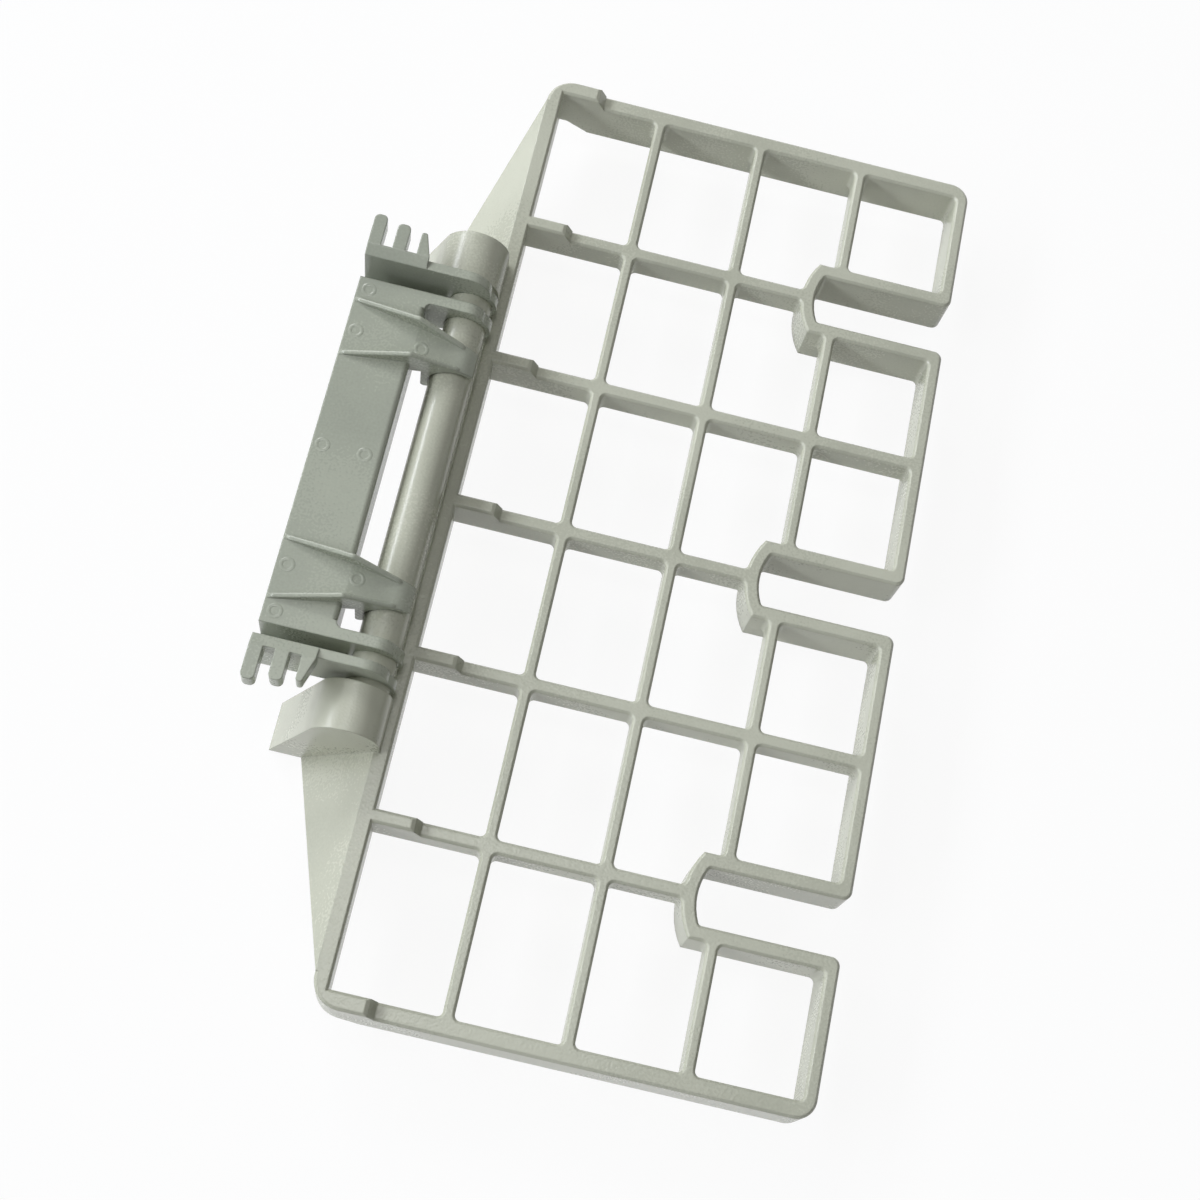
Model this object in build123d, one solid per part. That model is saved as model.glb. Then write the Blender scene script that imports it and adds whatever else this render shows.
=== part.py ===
"""Fold-up cup rack for a dishwasher basket, in millimetres with +Z up.

A moulded shelf, an open grid with three stem slots, carries a shaft along one side. A moulded hinge
bracket snaps over that shaft and hangs between two upright wires of the basket. Both are drawn about
the shaft, X towards the shelf's open side and Y along the shaft, and then moved to the part's frame,
whose origin is the middle of the bottom of the whole part.
"""
import os
from math import acos, atan2, cos, hypot, radians, sin, sqrt

from build123d import *

# Shelf grid: columns run from the hinge wall to the open side, rows are even about the middle
LONG_BARS = 3
COLUMN_PITCH = 28.1
HINGE_COLUMN = 27.6
OPEN_COLUMN = 27.0
CROSS_BARS = 5
ROW_PITCH = 41.0
END_ROW = 41.0
SIDE_WALL = 3.3
END_WALL = 4.2
HINGE_WALL = 3.9
CROSS_BAR = 3.4
LONG_BAR = 2.8
WALL_DEPTH = 12.4
BAR_DEPTH = 7.2
CORNER_RADIUS = 5.0
HINGE_CORNER_RADIUS = 7.0
CELL_RADIUS = 1.4
TOP_CHAMFER = 0.6

# Stem slots, one on every second cross bar
SLOT_GAP = 13.9
SLOT_LENGTH = 36.1
SLOT_WALL = 3.6
SLOT_END_RADIUS = 15.0
SLOT_CORNER = 1.0
MOUTH_RADIUS = 2.2

# Raised hinge side of the shelf, with a lip on each cross line
RAISE = 3.1
LIP_LENGTH = 9.5
LIP_RAMP = 1.9
STEP_START = 2.1
STEP_RUN = 6.0

# Shaft, its bearings, and how far the hinge wall tucks in under them
SHAFT_RADIUS = 5.3
BEARING_PLAY = 0.05
BEARING_WALL = 1.15
TUCK_ACROSS = 1.6
TUCK_DOWN = 1.5

# Shaft bosses with a nose that bears on the basket wire, and the webs that brace them
BOSS_WALL = 3.2
BOSS_SHIFT = 2.2
BOSS_DROP = 1.0
BOSS_LENGTH = 12.3
NOSE_REACH = 21.3
NOSE_DEPTH = 26.3
NOSE_FLAT = 8.1
WEB_THICKNESS = 2.6
WEB_INSET = 0.5
AXIAL_PLAY = 1.7

# Hinge bracket: a shallow tray with two bearings at each end
PLATE_RISE = 1.9
PLATE_THICKNESS = 2.5
PLATE_GAP = 3.7
PLATE_WIDTH = 17.5
PLATE_LENGTH = 93.6
PLATE_ROUND = 1.4
TRAY_WALL = 2.2
TRAY_BOTTOM = 3.0
COLLAR_WIDTH = 2.9
COLLAR_ROUND = 4.6
COLLAR_FILLET = 1.6
GROOVE_WIDTH = 4.2
GROOVE_FLOOR = 2.0
FLANGE_WIDTH = 2.4
FLANGE_RISE = 3.6
FLANGE_ROUND = 6.0
STOP_CLEARANCE = 0.4

# Clip arms over the shaft, placed from the plate's end, each a flat tongue with a rib along both edges
ARM_INSET = 5.8
ARM_SPREAD = 16.6
ARM_TIP_INSET = 12.0
ARM_TIP_WIDTH = 5.9
ARM_RISE = 3.7
ARM_RIB = 1.2
ARM_TIP_ANGLE = 38.0
ARM_WALL = 1.25
ARM_PLAY = 0.35
ARM_UNDERSIDE = 4.5
JAW_WALL = 1.7
JAW_ROUND = 1.2

# Wire comb at each end of the bracket, its prongs from the outer edge inwards
COMB_RISE = 1.2
COMB_HEIGHT = 5.0
COMB_BASE = 3.0
PRONG_WIDTH = 3.3
NOTCH_WIDTH = 2.9
PRONG_LENGTHS = (8.4, 7.2, 6.2)
PRONG_TAPER = 1.9
PRONG_ROUND = 1.3

# A rounding takes at most this share of an edge, and places closer than the tolerance are the same
ROUND_SHARE = 0.45
TOLERANCE = 0.01

# Places that follow from the sizes
BORE_RADIUS = SHAFT_RADIUS + BEARING_PLAY
RING_RADIUS = BORE_RADIUS + BEARING_WALL
GRID_LEFT = RING_RADIUS - TUCK_ACROSS
HINGE_TOP = TUCK_DOWN - RING_RADIUS
GRID_TOP = HINGE_TOP - RAISE
GRID_BOTTOM = GRID_TOP - WALL_DEPTH
CELLS_LEFT = GRID_LEFT + HINGE_WALL
LONG_PLACES = [CELLS_LEFT + HINGE_COLUMN + index * COLUMN_PITCH for index in range(LONG_BARS)]
CELLS_RIGHT = LONG_PLACES[-1] + OPEN_COLUMN
GRID_RIGHT = CELLS_RIGHT + SIDE_WALL
CROSS_PLACES = [(index - (CROSS_BARS - 1) / 2) * ROW_PITCH for index in range(CROSS_BARS)]
SLOT_PLACES = CROSS_PLACES[::2]
CELLS_END = CROSS_PLACES[-1] + END_ROW
GRID_END = CELLS_END + END_WALL
LIP_END = CELLS_LEFT + LIP_LENGTH
RAMP_END = LIP_END + LIP_RAMP
PLATE_EDGE = RING_RADIUS + PLATE_GAP
PLATE_REACH = PLATE_EDGE + PLATE_WIDTH
PLATE_TOP = RING_RADIUS + PLATE_RISE
PLATE_END = PLATE_LENGTH / 2
FLANGE_IN = PLATE_END + GROOVE_WIDTH
FLANGE_OUT = FLANGE_IN + FLANGE_WIDTH
FLANGE_TOP = PLATE_TOP + FLANGE_RISE
SHOULDER = -HINGE_TOP - STOP_CLEARANCE
COMB_FACE = FLANGE_IN + COMB_BASE
COMB_TOP = FLANGE_TOP + COMB_RISE
BOSS_RADIUS = SHAFT_RADIUS + BOSS_WALL
BOSS_IN = FLANGE_OUT + AXIAL_PLAY
BOSS_OUT = BOSS_IN + BOSS_LENGTH
WEB_FOOT = NOSE_REACH - NOSE_FLAT


def prism(section, y_low, y_high):
    """A section drawn in X and Z, extruded between two places along Y."""
    return extrude(Plane.XZ.offset(-y_high) * section, amount=y_high - y_low)


def slab(outline, z_low, z_high):
    """An outline drawn in X and Y, extruded between two heights."""
    return extrude(Plane.XY.offset(z_low) * outline, amount=z_high - z_low)


def span(x_low, x_high, y_low, y_high):
    """A rectangle between two corners."""
    middle = Pos((x_low + x_high) / 2, (y_low + y_high) / 2)
    return middle * Rectangle(x_high - x_low, y_high - y_low)


def polygon(*points):
    """A face inside straight edges."""
    return make_face(Polyline(*points, close=True))


def both_ends(piece):
    """A piece and its mirror image at the other end of the shaft."""
    return piece + mirror(piece, about=Plane.XZ)


def tangent_point(start, centre, radius):
    """Where a straight line from a start on the left touches the upper side of a circle."""
    away = (start[0] - centre[0], start[1] - centre[1])
    turn = atan2(away[1], away[0]) - acos(radius / hypot(*away))
    return (centre[0] + radius * cos(turn), centre[1] + radius * sin(turn))


def slot_outline(middle, margin, right):
    """The plan of a stem slot, widened by a margin, with its shallow round end."""
    half = SLOT_GAP / 2 + margin
    end_x = GRID_RIGHT - SLOT_LENGTH
    centre_x = end_x + SLOT_END_RADIUS
    round_end = Pos(centre_x, middle) * Circle(SLOT_END_RADIUS + margin)
    beyond = span(centre_x, right, middle - half, middle + half)
    return span(end_x - margin, right, middle - half, middle + half) & (round_end + beyond)


def slot_shoulder():
    """Where the round end of a slot's wall meets its straight sides."""
    half = SLOT_GAP / 2 + SLOT_WALL
    reach = SLOT_END_RADIUS + SLOT_WALL
    return GRID_RIGHT - SLOT_LENGTH + SLOT_END_RADIUS - sqrt(reach**2 - half**2)


def cell_windows():
    """The open cells clear of the slot walls, rounded except at the hinge wall and the slots' shoulders."""
    lefts = [CELLS_LEFT] + [place + LONG_BAR / 2 for place in LONG_PLACES]
    rights = [place - LONG_BAR / 2 for place in LONG_PLACES] + [CELLS_RIGHT]
    lows = [-CELLS_END] + [place + CROSS_BAR / 2 for place in CROSS_PLACES]
    highs = [place - CROSS_BAR / 2 for place in CROSS_PLACES] + [CELLS_END]
    windows = Sketch()
    for left, right in zip(lefts, rights):
        for low, high in zip(lows, highs):
            windows += span(left, right, low, high)
    for middle in SLOT_PLACES:
        windows -= slot_outline(middle, SLOT_WALL, CELLS_RIGHT)
    sharp = (CELLS_LEFT, slot_shoulder())
    corners = [vertex for vertex in windows.vertices() if min(abs(vertex.X - x) for x in sharp) > TOLERANCE]
    longest_round = ROUND_SHARE * min(edge.length for edge in windows.edges())
    return fillet(corners, min(CELL_RADIUS, longest_round))


def at_slot_mouth(vertex):
    """Whether a corner of the plan is an edge of a slot's mouth."""
    beside = [abs(vertex.Y - middle) - SLOT_GAP / 2 for middle in SLOT_PLACES]
    return abs(vertex.X - GRID_RIGHT) < TOLERANCE and min(map(abs, beside)) < TOLERANCE


def grid_outline():
    """The plan of the whole grid: the rounded frame less the cells and the open slots."""
    outline = span(GRID_LEFT, GRID_RIGHT, -GRID_END, GRID_END)
    outline = fillet(outline.vertices().group_by(Axis.X)[-1], CORNER_RADIUS)
    outline = fillet(outline.vertices().group_by(Axis.X)[0], HINGE_CORNER_RADIUS)
    for middle in SLOT_PLACES:
        slot = slot_outline(middle, 0, GRID_RIGHT + SIDE_WALL)
        outline -= fillet(slot.vertices().group_by(Axis.X)[0], SLOT_CORNER)
    mouths = [vertex for vertex in outline.vertices() if at_slot_mouth(vertex)]
    return fillet(mouths, MOUTH_RADIUS) - cell_windows()


def grid():
    """The level part of the shelf: deep outer and slot walls, shallower bars, softened top edges."""
    plate = slab(grid_outline(), GRID_BOTTOM, GRID_TOP)
    plate = chamfer(plate.faces().sort_by(Axis.Z)[-1].edges(), TOP_CHAMFER)
    under_bars = span(CELLS_LEFT, CELLS_RIGHT, -CELLS_END, CELLS_END)
    for middle in SLOT_PLACES:
        under_bars -= slot_outline(middle, SLOT_WALL, GRID_RIGHT)
    under_bars = fillet(under_bars.vertices().group_by(Axis.X)[-1], CELL_RADIUS)
    plate -= slab(under_bars, GRID_BOTTOM, GRID_TOP - BAR_DEPTH)
    step_high = CELLS_LEFT + STEP_START
    step_low = step_high + STEP_RUN
    rise = polygon(
        (0, GRID_BOTTOM - RAISE),
        (step_low, GRID_BOTTOM - RAISE),
        (step_low, GRID_BOTTOM),
        (step_high, GRID_BOTTOM + RAISE),
        (0, GRID_BOTTOM + RAISE),
    )
    return plate - prism(rise, -GRID_END, GRID_END)


def raised_side():
    """The hinge-side wall and the lips, which stand above the grid and end in short ramps."""
    foot = GRID_TOP - 2 * TOP_CHAMFER
    strip = grid_outline() & span(GRID_LEFT, RAMP_END, -GRID_END, GRID_END)
    ramp = polygon(
        (0, foot),
        (RAMP_END, foot),
        (RAMP_END, GRID_TOP),
        (LIP_END, HINGE_TOP),
        (0, HINGE_TOP),
    )
    side = slab(strip, foot, HINGE_TOP) & prism(ramp, -GRID_END, GRID_END)
    return chamfer(side.faces().sort_by(Axis.Z)[-1].edges(), TOP_CHAMFER)


def boss():
    """The end of the shaft: a round back and a straight flank down to the nose."""
    centre = (-BOSS_SHIFT, -BOSS_DROP)
    right = BOSS_RADIUS - BOSS_SHIFT
    nose = (-NOSE_REACH, -NOSE_DEPTH)
    top = tangent_point(nose, centre, BOSS_RADIUS)
    flank = polygon(nose, top, centre, (GRID_LEFT, HINGE_TOP), (-WEB_FOOT, -NOSE_DEPTH))
    seat = polygon(centre, (right, -BOSS_DROP), (right, HINGE_TOP), (GRID_LEFT, HINGE_TOP))
    return prism(Pos(*centre) * Circle(BOSS_RADIUS) + flank + seat, BOSS_IN, BOSS_OUT)


def web():
    """The sloping three-cornered wall that braces a boss against the corner of the frame."""
    corner_y = GRID_END - HINGE_CORNER_RADIUS - WEB_INSET
    drop = HINGE_TOP + NOSE_DEPTH
    across = WEB_THICKNESS * hypot(GRID_LEFT + WEB_FOOT, drop) / drop
    section = polygon(
        (GRID_LEFT, HINGE_TOP),
        (-WEB_FOOT, -NOSE_DEPTH),
        (across - WEB_FOOT, -NOSE_DEPTH),
        (GRID_LEFT + across, HINGE_TOP),
    )
    plan = polygon(
        (GRID_LEFT + across, BOSS_IN),
        (GRID_LEFT + across, corner_y),
        (GRID_LEFT, corner_y),
        (-WEB_FOOT, BOSS_OUT),
        (-WEB_FOOT, BOSS_IN),
    )
    return prism(section, BOSS_IN, corner_y) & slab(plan, -NOSE_DEPTH, HINGE_TOP)


def rack():
    """The shelf moulding with its shaft."""
    shaft = prism(Circle(SHAFT_RADIUS), -BOSS_OUT, BOSS_OUT)
    return grid() + raised_side() + shaft + both_ends(boss()) + both_ends(web())


def bearing_section(top, rounding, left):
    """A bearing plate's section: flat top, rounded shoulder, thin hook down the shelf side."""
    block = span(left, SHOULDER, -TRAY_BOTTOM, top)
    shoulder = block.vertices().group_by(Axis.X)[-1].sort_by(Axis.Y)[-1]
    section = fillet(shoulder, rounding) + Circle(RING_RADIUS)
    section -= span(left, RING_RADIUS, -RING_RADIUS, -TRAY_BOTTOM)
    return section - Circle(BORE_RADIUS)


def tray():
    """The bracket's plate with walls turned down round its edge, soft along the shaft side."""
    outline = span(-PLATE_REACH, -PLATE_EDGE, -PLATE_END, PLATE_END)
    shell = slab(outline, -TRAY_BOTTOM, PLATE_TOP)
    edge = shell.faces().sort_by(Axis.Z)[-1].edges().sort_by(Axis.X)[-1]
    shell = fillet(edge, PLATE_ROUND)
    half_length = PLATE_END - TRAY_WALL
    hollow = span(TRAY_WALL - PLATE_REACH, -PLATE_EDGE - TRAY_WALL, -half_length, half_length)
    return shell - slab(hollow, -TRAY_BOTTOM, PLATE_TOP - PLATE_THICKNESS)


def collar_fillet():
    """The rounded inside corner in which the collar leaves the plate."""
    inner = PLATE_END - COLLAR_WIDTH
    right = COLLAR_FILLET - PLATE_EDGE
    outline = span(-PLATE_EDGE - PLATE_ROUND, right, inner - COLLAR_FILLET, inner)
    outline -= Pos(right, inner - COLLAR_FILLET) * Circle(COLLAR_FILLET)
    return slab(outline, PLATE_TOP - PLATE_THICKNESS, PLATE_TOP)


def bearings():
    """The collar, the groove floor and the flange at one end."""
    collar = bearing_section(PLATE_TOP, COLLAR_ROUND, -PLATE_EDGE - PLATE_ROUND)
    flange = bearing_section(FLANGE_TOP, FLANGE_ROUND, -PLATE_REACH)
    floor = span(-PLATE_REACH, -RING_RADIUS, PLATE_END, FLANGE_IN)
    end = prism(collar, PLATE_END - COLLAR_WIDTH, PLATE_END) + collar_fillet()
    end += prism(flange, FLANGE_IN, FLANGE_OUT)
    return end + slab(floor, -TRAY_BOTTOM, GROOVE_FLOOR - TRAY_BOTTOM)


def comb():
    """Three prongs that leave two notches for an upright wire, with a base that slopes to the flange."""
    pitch = PRONG_WIDTH + NOTCH_WIDTH
    right_side = (len(PRONG_LENGTHS) - 1) * pitch + PRONG_WIDTH - PLATE_REACH
    outline = span(-PLATE_REACH, right_side, FLANGE_IN, COMB_FACE)
    for index, length in enumerate(PRONG_LENGTHS):
        left = index * pitch - PLATE_REACH
        right = left + PRONG_WIDTH
        tip = COMB_FACE + length
        taper = PRONG_TAPER if right == right_side else 0
        prong = polygon(
            (left, FLANGE_IN),
            (left, tip),
            (right - taper, tip),
            (right, COMB_FACE),
            (right, FLANGE_IN),
        )
        rounding = min(PRONG_ROUND, ROUND_SHARE * (PRONG_WIDTH - taper))
        outline += fillet(prong.vertices().group_by(Axis.Y)[-1], rounding)
    teeth = slab(outline, COMB_TOP - COMB_HEIGHT, COMB_TOP)
    slope = polygon((FLANGE_IN, FLANGE_TOP), (COMB_FACE, COMB_TOP), (FLANGE_IN, COMB_TOP))
    return teeth - extrude(Plane.YZ * slope, amount=PLATE_REACH, both=True)


def arm_section(rise):
    """An arm's section: flush with the plate or rising to its edge, over the shaft, and down to a jaw."""
    inner = SHAFT_RADIUS + ARM_PLAY
    outer = inner + ARM_WALL
    beyond = 2 * outer
    peak = (-PLATE_EDGE, PLATE_TOP + rise)
    top = tangent_point(peak, (0, 0), outer)
    tip = (beyond * cos(radians(ARM_TIP_ANGLE)), beyond * sin(radians(ARM_TIP_ANGLE)))
    jaw_left = -inner - JAW_WALL
    section = polygon(
        (-PLATE_REACH, PLATE_TOP - PLATE_THICKNESS),
        (-PLATE_REACH, PLATE_TOP),
        peak,
        top,
        (0, 0),
        (jaw_left, 0),
        (jaw_left, ARM_UNDERSIDE),
        (-PLATE_EDGE, ARM_UNDERSIDE),
        (-PLATE_EDGE, PLATE_TOP - PLATE_THICKNESS),
    )
    section += Circle(outer) & polygon((0, 0), (2 * top[0], 2 * top[1]), tip)
    jaw = span(jaw_left, 0, -TRAY_BOTTOM, 0)
    section += fillet(jaw.vertices().group_by(Axis.X)[0].sort_by(Axis.Y)[0], JAW_ROUND)
    section -= Circle(inner)
    return section - span(-sqrt(inner**2 - TRAY_BOTTOM**2), beyond, -beyond, 0)


def arm_plan(margin):
    """The plan of an arm, which narrows from the plate to its tip, less a margin along both edges."""
    start = PLATE_END - ARM_INSET
    tip_start = PLATE_END - ARM_TIP_INSET
    tip_x = SHAFT_RADIUS + ARM_PLAY + ARM_WALL
    return polygon(
        (-PLATE_REACH, start - ARM_SPREAD + margin),
        (-PLATE_REACH, start - margin),
        (tip_x, tip_start - margin),
        (tip_x, tip_start - ARM_TIP_WIDTH + margin),
    )


def arm():
    """A clip arm: a tongue from the plate over the shaft, with ribs that rise to the plate's edge."""
    low = PLATE_END - ARM_INSET - ARM_SPREAD
    high = PLATE_END - ARM_INSET
    top = PLATE_TOP + ARM_RISE
    tongue = prism(arm_section(0), low, high) & slab(arm_plan(0), -TRAY_BOTTOM, top)
    ribs = prism(arm_section(ARM_RISE), low, high) & slab(arm_plan(0) - arm_plan(ARM_RIB), -TRAY_BOTTOM, top)
    return tongue + ribs


def hinge_bracket():
    """The bracket moulding that snaps over the shaft."""
    return tray() + both_ends(bearings()) + both_ends(comb()) + both_ends(arm())


def main():
    os.makedirs("parts", exist_ok=True)
    place = Pos((PLATE_REACH - GRID_RIGHT) / 2, 0, NOSE_DEPTH)
    export_step(place * rack(), "parts/rack.step")
    export_step(place * hinge_bracket(), "parts/hinge_bracket.step")


main()
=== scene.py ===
# %% [markdown]
# # A fold-up cup rack, dressed for the camera
#
# The rack is two mouldings: a light grey shelf, and a darker hinge bracket that clips over the shelf's
# shaft. Their shapes are already exact solids, so this lesson loads them as a fixed frame and only adds
# what a solid can't carry: softened edges, the marks of the mould, the plastics, light and a camera.

# %% Load the fixed frame
from math import radians

import bpy
import numpy as np
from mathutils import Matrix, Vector


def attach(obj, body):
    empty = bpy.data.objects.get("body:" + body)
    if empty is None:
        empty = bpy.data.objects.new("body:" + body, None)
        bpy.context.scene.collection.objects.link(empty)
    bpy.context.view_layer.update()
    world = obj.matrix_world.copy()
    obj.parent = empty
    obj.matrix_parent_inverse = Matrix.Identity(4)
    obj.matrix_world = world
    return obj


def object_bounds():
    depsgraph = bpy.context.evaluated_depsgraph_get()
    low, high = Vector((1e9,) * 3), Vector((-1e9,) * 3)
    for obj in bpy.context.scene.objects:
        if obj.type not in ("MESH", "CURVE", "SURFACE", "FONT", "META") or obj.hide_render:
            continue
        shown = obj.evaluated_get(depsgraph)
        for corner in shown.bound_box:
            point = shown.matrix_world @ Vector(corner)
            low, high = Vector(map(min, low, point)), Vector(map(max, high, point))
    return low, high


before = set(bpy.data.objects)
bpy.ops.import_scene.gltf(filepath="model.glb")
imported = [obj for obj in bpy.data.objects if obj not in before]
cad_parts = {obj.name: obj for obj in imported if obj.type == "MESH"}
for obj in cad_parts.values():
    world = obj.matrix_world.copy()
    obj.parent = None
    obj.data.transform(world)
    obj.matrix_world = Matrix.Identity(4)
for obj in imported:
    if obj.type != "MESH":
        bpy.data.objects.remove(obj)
cad_box = [list(corner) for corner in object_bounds()]
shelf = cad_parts["rack"]
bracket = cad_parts["hinge_bracket"]
MM = 0.001
print("pieces:", sorted(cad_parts), "box:", cad_box)

# %% [markdown]
# ## Colours and nodes
#
# A colour is chosen on a screen, so it is written as an sRGB hex value, while the shader works with linear
# light. One function turns the first into the second. A second function adds a shader node, sets its
# properties and inputs, and links it to the nodes that feed it, so a material reads as a list.


# %% Two small helpers for materials
def linear(hex_colour):
    """An sRGB hex value as linear red, green, blue and alpha: each channel goes through the sRGB curve."""
    channels = np.array([int(hex_colour[place:place + 2], 16) for place in (1, 3, 5)]) / 255
    curved = np.where(channels <= 0.04045, channels / 12.92, ((channels + 0.055) / 1.055) ** 2.4)
    return (*curved, 1.0)


def add_node(tree, kind, inputs=None, **settings):
    """Adds a node to a tree. Settings are its properties; an input is a value, or a socket to link from."""
    node = tree.nodes.new("ShaderNode" + kind)
    for name, value in settings.items():
        setattr(node, name, value)
    for name, value in (inputs or {}).items():
        if isinstance(value, bpy.types.NodeSocket):
            tree.links.new(value, node.inputs[name])
        else:
            node.inputs[name].default_value = value
    return node


def per_metre(size_mm):
    """The scale of a pattern whose features are this many millimetres across."""
    return 1 / (size_mm * MM)


print("linear mid grey:", linear("#808080"))

# %% [markdown]
# ## Moulded polypropylene
#
# Both mouldings are taken to be polypropylene. The eye sees a satin surface, a slight cloudiness, and on the
# level faces a fine grain that glitters under a lamp, such as a spark-eroded mould leaves. The upright and
# sloping faces look smooth in the picture, so the relief of the grain fades out as a face leaves the level.
# Cloud and grain are noise in the object's own coordinates, so they sit still on the part. A grain of this
# kind is far finer than a pixel of the picture, so it is drawn coarser.
#
# A mould can't make a knife edge either: every corner carries a small radius that catches the light as a
# thin bright line. A Bevel node averages the normals near an edge, which gives that line on every edge of
# both mouldings without cutting into their faces.

# %% One function for the two plastics
GRAIN_MM = 0.6
GRAIN_DEPTH_MM = 0.05
GRAIN_SHARE = 0.2
CLOUD_MM = 38.0
CLOUD_DETAIL = 3.0
PATTERN_RANGE = (0.36, 0.64)
GLOSS_SPREAD = 0.05
LEVEL_FROM = 0.9
BEVEL_SAMPLES = 8
POLYPROPYLENE_IOR = 1.49


def moulded_polypropylene(name, greys, roughness, edge_mm, sparkle):
    """Satin moulded polypropylene: two greys, uneven gloss, soft edges, and grain on level faces."""
    dark, light = greys
    material = bpy.data.materials.new(name)
    material.use_nodes = True
    tree = material.node_tree
    shader = tree.nodes["Principled BSDF"]
    on_part = add_node(tree, "TexCoord")
    place = on_part.outputs["Object"]
    cloud, grain = [
        add_node(tree, "TexNoise", {"Vector": place, "Scale": per_metre(size), "Detail": detail})
        for size, detail in ((CLOUD_MM, CLOUD_DETAIL), (GRAIN_MM, 0.0))
    ]
    weight = add_node(tree, "Mix", {
        "Factor": GRAIN_SHARE,
        "A": cloud.outputs["Fac"],
        "B": grain.outputs["Fac"],
    })
    tone = add_node(tree, "ValToRGB", {"Fac": weight.outputs["Result"]})
    for stop, position, colour in zip(tone.color_ramp.elements, PATTERN_RANGE, (dark, light)):
        stop.position = position
        stop.color = linear(colour)
    rough = add_node(tree, "MapRange", {
        "Value": weight.outputs["Result"],
        "From Min": PATTERN_RANGE[0],
        "From Max": PATTERN_RANGE[1],
        "To Min": roughness - GLOSS_SPREAD,
        "To Max": roughness + GLOSS_SPREAD,
    })
    facing = add_node(tree, "SeparateXYZ", {"Vector": on_part.outputs["Normal"]})
    strength = add_node(tree, "MapRange", {
        "Value": facing.outputs["Z"],
        "From Min": LEVEL_FROM,
        "From Max": 1.0,
        "To Min": 0.0,
        "To Max": sparkle,
    })
    soft_edge = add_node(tree, "Bevel", {"Radius": edge_mm * MM}, samples=BEVEL_SAMPLES)
    relief = add_node(tree, "Bump", {
        "Height": grain.outputs["Fac"],
        "Strength": strength.outputs["Result"],
        "Distance": GRAIN_DEPTH_MM * MM,
        "Normal": soft_edge.outputs["Normal"],
    })
    tree.links.new(tone.outputs["Color"], shader.inputs["Base Color"])
    tree.links.new(rough.outputs["Result"], shader.inputs["Roughness"])
    tree.links.new(relief.outputs["Normal"], shader.inputs["Normal"])
    shader.inputs["IOR"].default_value = POLYPROPYLENE_IOR
    return material


SHELF_GREYS = ("#AEB09F", "#BCBEAD")
BRACKET_GREYS = ("#989D8F", "#A7AC9C")
shelf_plastic = moulded_polypropylene(
    "polypropylene_light_grey", SHELF_GREYS, roughness=0.27, edge_mm=0.5, sparkle=1.0)
bracket_plastic = moulded_polypropylene(
    "polypropylene_blue_grey", BRACKET_GREYS, roughness=0.26, edge_mm=0.55, sparkle=0.3)
detail_plastic = moulded_polypropylene(
    "polypropylene_blue_grey_detail", BRACKET_GREYS, roughness=0.26, edge_mm=0.0, sparkle=0.3)
print("materials:", shelf_plastic.name, bracket_plastic.name, detail_plastic.name)

# %% [markdown]
# ## Dress the two mouldings
#
# The solids already have the right shape, so they stay as they are and only change their plastic.

# %% Give each moulding its plastic
for moulding, plastic in ((shelf, shelf_plastic), (bracket, bracket_plastic)):
    for place in range(len(moulding.data.materials)):
        moulding.data.materials[place] = plastic
    print(moulding.name, "faces:", len(moulding.data.polygons), "plastic:", plastic.name)

# %% [markdown]
# ## Ejector marks
#
# Round pins push the bracket out of its mould, and each leaves a low ring on the plate. A ring is a shallow
# arch carried round a circle. Its place is found by dropping a line on to the bracket from above, so it sits
# on the surface that carries it, tilted where that surface slopes. The arch is too thin for the soft edges
# of the mouldings, so it takes the same plastic without them.

# %% Rings where the pins pushed
PIN_RADIUS_MM = 1.45
RIDGE_HALF_MM = 0.45
RIDGE_RISE_MM = 0.08
RING_STEPS = (48, 16)
PIN_PLACES_MM = [
    (-72.3, 43.6),
    (-72.3, -43.6),
    (-72.6, 31.8),
    (-72.6, -31.8),
    (-72.6, 0.0),
    (-62.2, 0.0),
    (-55.9, 31.2),
    (-55.9, -31.2),
]


def dropped(x_mm, y_mm):
    """The point and the normal where a line straight down meets the bracket."""
    start = Vector((x_mm * MM, y_mm * MM, cad_box[1][2] + MM))
    _, point, normal, _ = bracket.ray_cast(start, Vector((0, 0, -1)))
    return np.array(point), np.array(normal)


def ring(point, up):
    """A ring: point + (R + w cos v)(across cos u + along sin u) + h sin v |sin v| up, u and v a turn each"""
    turns = [np.linspace(0, 2 * np.pi, steps, endpoint=False) for steps in RING_STEPS]
    u, v = np.meshgrid(*turns, indexing="ij")
    along = np.array((0.0, 1.0, 0.0))
    across = np.cross(along, up)
    reach = (PIN_RADIUS_MM + RIDGE_HALF_MM * np.cos(v)) * MM
    rise = RIDGE_RISE_MM * np.sin(v) * np.abs(np.sin(v)) * MM
    out = np.cos(u)[..., None] * across + np.sin(u)[..., None] * along
    return point + reach[..., None] * out + rise[..., None] * up


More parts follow.
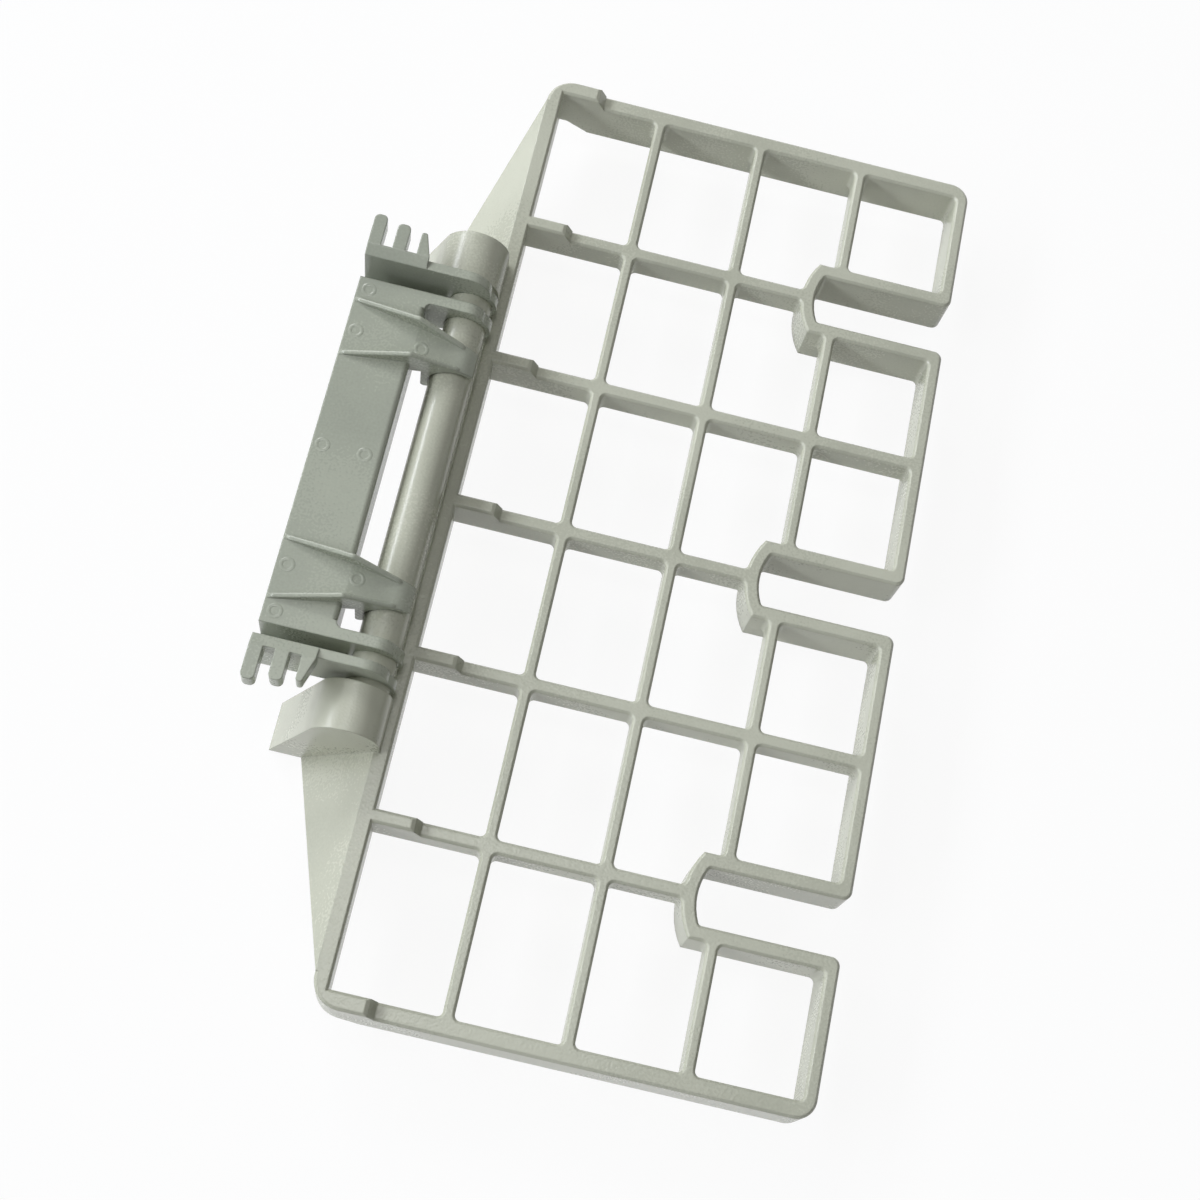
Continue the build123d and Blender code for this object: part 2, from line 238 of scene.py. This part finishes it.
def moulded_detail(name, grids, looped):
    """A piece from grids of points, each closed across, and along it either a loop or flat at both ends."""
    faces = []
    first = 0
    for grid in grids:
        rows, columns = grid.shape[:2]
        index = first + np.arange(rows * columns).reshape(rows, columns)
        beside = np.roll(index, -1, axis=0)
        quads = np.stack([index, beside, np.roll(beside, -1, axis=1), np.roll(index, -1, axis=1)], axis=-1)
        if looped:
            faces += quads.reshape(-1, 4).tolist()
        else:
            faces += quads[:-1].reshape(-1, 4).tolist()
            faces += [index[0].tolist(), index[-1, ::-1].tolist()]
        first += rows * columns
    mesh = bpy.data.meshes.new(name)
    mesh.from_pydata(np.concatenate([grid.reshape(-1, 3) for grid in grids]).tolist(), [], faces)
    mesh.polygons.foreach_set("use_smooth", np.ones(len(mesh.polygons), bool))
    mesh.update()
    mesh.materials.append(detail_plastic)
    piece = bpy.data.objects.new(name, mesh)
    bpy.context.scene.collection.objects.link(piece)
    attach(piece, "bracket")
    return piece


rings = [ring(*dropped(*place)) for place in PIN_PLACES_MM]
ejector_marks = moulded_detail("ejector_marks", rings, looped=True)
print("ejector marks:", len(PIN_PLACES_MM), "faces:", len(ejector_marks.data.polygons))

# %% [markdown]
# ## Round crests on the ribs
#
# Each clip arm carries two thin ribs, which rise to the plate's edge and fall to the shaft. Their crests are
# round, so each shines as a thin line. The round crest is an arch carried along the rib. Three lines
# dropped on to the rib, at its foot, its peak and its end over the shaft, give the heights it runs between.

# %% An arch along each rib
RIB_X_MM = (-75.3, -40.7)
RIB_Y_MM = [(40.4, 34.2), (25.0, 29.5), (-40.4, -34.2), (-25.0, -29.5)]
CREST_STOPS_MM = (-74.6, -57.8, -45.6)
CREST_HALF_MM = 0.62
CREST_RISE_MM = 0.36
CREST_DEPTH_MM = 0.2
CREST_TAPER_MM = 0.9
CREST_END_SHARE = 0.2
CREST_STEPS = (80, 20)


def crest(rib_y_mm):
    """An arch along x: path(x) + t (w cos v side + h sin v up), v a turn, t less than 1 near both ends"""
    stops = [dropped(x, np.interp(x, RIB_X_MM, rib_y_mm))[0][2] for x in CREST_STOPS_MM]
    x = np.linspace(CREST_STOPS_MM[0], CREST_STOPS_MM[-1], CREST_STEPS[0])
    path = np.stack([x, np.interp(x, RIB_X_MM, rib_y_mm), np.interp(x, CREST_STOPS_MM, stops) / MM], axis=-1)
    v = np.linspace(0, 2 * np.pi, CREST_STEPS[1], endpoint=False)
    along = np.array((RIB_X_MM[1] - RIB_X_MM[0], rib_y_mm[1] - rib_y_mm[0], 0.0))
    up = np.array((0.0, 0.0, 1.0))
    side = np.cross(along / np.linalg.norm(along), up)
    from_end = np.minimum(x - x[0], x[-1] - x) / CREST_TAPER_MM
    taper = np.clip(CREST_END_SHARE + from_end, CREST_END_SHARE, 1.0)[:, None, None]
    height = np.where(np.sin(v) > 0, CREST_RISE_MM, CREST_DEPTH_MM) * np.sin(v)
    section = CREST_HALF_MM * np.cos(v)[:, None] * side + height[:, None] * up
    return (path[:, None, :] + taper * section) * MM


crests = [crest(rib_y_mm) for rib_y_mm in RIB_Y_MM]
rib_crests = moulded_detail("rib_crests", crests, looped=False)
print("rib crests:", len(RIB_Y_MM), "faces:", len(rib_crests.data.polygons))

# %% [markdown]
# ## Floor and room
#
# The rack lies on white paper in a white room. Paper and room could be made white with more light, but that
# would bleach the rack too. So both stay dim as light on the rack, and a Light Path node makes them plain
# white only where the camera sees them, straight, in a gloss or through glass. A little of the paper's own
# shade is kept, so the rack still casts its shadow.

# %% Paper and room that look white
FLOOR_HALF_M = 8.0
FLOOR_GLOW = 0.92
ROOM_LIGHT = 0.13


def seen_by_eye(tree):
    """A socket that is 1 for rays from the camera, also after a gloss or a glass, and 0 for other light."""
    path = add_node(tree, "LightPath")
    seen = path.outputs["Is Camera Ray"]
    for kind in ("Is Glossy Ray", "Is Transmission Ray"):
        seen = add_node(tree, "Math", {0: seen, 1: path.outputs[kind]}, operation="MAXIMUM").outputs[0]
    return seen


def floor_paper():
    """White paper: matt to the light, and mostly plain white to the eye."""
    material = bpy.data.materials.new("white_paper")
    material.use_nodes = True
    tree = material.node_tree
    matt = add_node(tree, "BsdfDiffuse", {"Color": linear("#F0F0F0")})
    glow = add_node(tree, "Emission", {"Color": linear("#FFFFFF"), "Strength": 1.0})
    share = add_node(tree, "Math", {0: seen_by_eye(tree), 1: FLOOR_GLOW}, operation="MULTIPLY")
    mixed = add_node(tree, "MixShader", {0: share.outputs[0], 1: matt.outputs[0], 2: glow.outputs[0]})
    tree.links.new(mixed.outputs[0], tree.nodes["Material Output"].inputs["Surface"])
    return material


def white_room():
    """A room that gives a little even light, and is plain white to the eye."""
    world = bpy.data.worlds.new("white room")
    world.use_nodes = True
    tree = world.node_tree
    dim = add_node(tree, "Background", {"Color": linear("#FFFFFF"), "Strength": ROOM_LIGHT})
    white = add_node(tree, "Background", {"Color": linear("#FFFFFF"), "Strength": 1.0})
    mixed = add_node(tree, "MixShader", {0: seen_by_eye(tree), 1: dim.outputs[0], 2: white.outputs[0]})
    tree.links.new(mixed.outputs[0], tree.nodes["World Output"].inputs["Surface"])
    return world


floor_mesh = bpy.data.meshes.new("floor")
corners = FLOOR_HALF_M * np.array([(-1, -1, 0), (1, -1, 0), (1, 1, 0), (-1, 1, 0)])
corners[:, 2] = cad_box[0][2]
floor_mesh.from_pydata(corners.tolist(), [], [(0, 1, 2, 3)])
floor = bpy.data.objects.new("floor", floor_mesh)
floor.data.materials.append(floor_paper())
bpy.context.scene.collection.objects.link(floor)
bpy.context.scene.world = white_room()
print("floor half width:", FLOOR_HALF_M, "m, room light:", ROOM_LIGHT)

# %% [markdown]
# ## Lamps
#
# In the picture the sloping webs are brightest, one narrow highlight runs along the shaft, and hardly any
# shadow falls along the shelf. That is the work of a long, low strip lamp on the hinge side. A small lamp
# overhead gives the near bars their glitter, a weak one behind the camera opens the shaded faces, and one
# on the far side draws the bright line along the ribs of the bracket.

# %% Four soft lamps
def soft_lamp(name, place, width, height, power, tint="#FFFFFF"):
    """An oblong area lamp that looks at the middle of the rack, its width level with the floor."""
    light = bpy.data.lights.new(name, "AREA")
    light.shape = "RECTANGLE"
    light.size = width
    light.size_y = height
    light.energy = power
    light.color = linear(tint)[:3]
    lamp = bpy.data.objects.new(name, light)
    lamp.location = place
    lamp.rotation_euler = (-Vector(place)).to_track_quat("-Z", "Y").to_euler()
    bpy.context.scene.collection.objects.link(lamp)
    return lamp


soft_lamp("hinge side", (-2.0, 0.1, 1.3), width=4.4, height=0.5, power=75.0, tint="#F4F7FF")
soft_lamp("overhead", (-0.1, 0.1, 1.2), width=0.3, height=0.3, power=1.7)
soft_lamp("near side", (0.1, -1.4, 0.95), width=1.2, height=1.2, power=2.0)
soft_lamp("far side", (-0.85, 1.4, 1.15), width=0.45, height=0.45, power=9.0)
bpy.context.scene.view_settings.view_transform = "Standard"

# %% [markdown]
# ## Camera
#
# The picture was taken from above the near end of the shelf, with the long side running up the frame.
# Place, turn and focal length were worked out from the crossings of the bars in the picture.

# %% Set the camera
CAMERA_PLACE_MM = (-14.441, -183.530, 459.547)
CAMERA_TURN_DEG = (19.886, -6.532, 12.081)
LENS_MM = 57.494
SENSOR_MM = 36.0
view = bpy.data.cameras.new("camera")
view.lens = LENS_MM
view.sensor_width = SENSOR_MM
camera = bpy.data.objects.new("camera", view)
camera.location = Vector(CAMERA_PLACE_MM) * MM
camera.rotation_euler = [radians(angle) for angle in CAMERA_TURN_DEG]
bpy.context.scene.collection.objects.link(camera)
bpy.context.scene.camera = camera
print("camera at", list(camera.location))
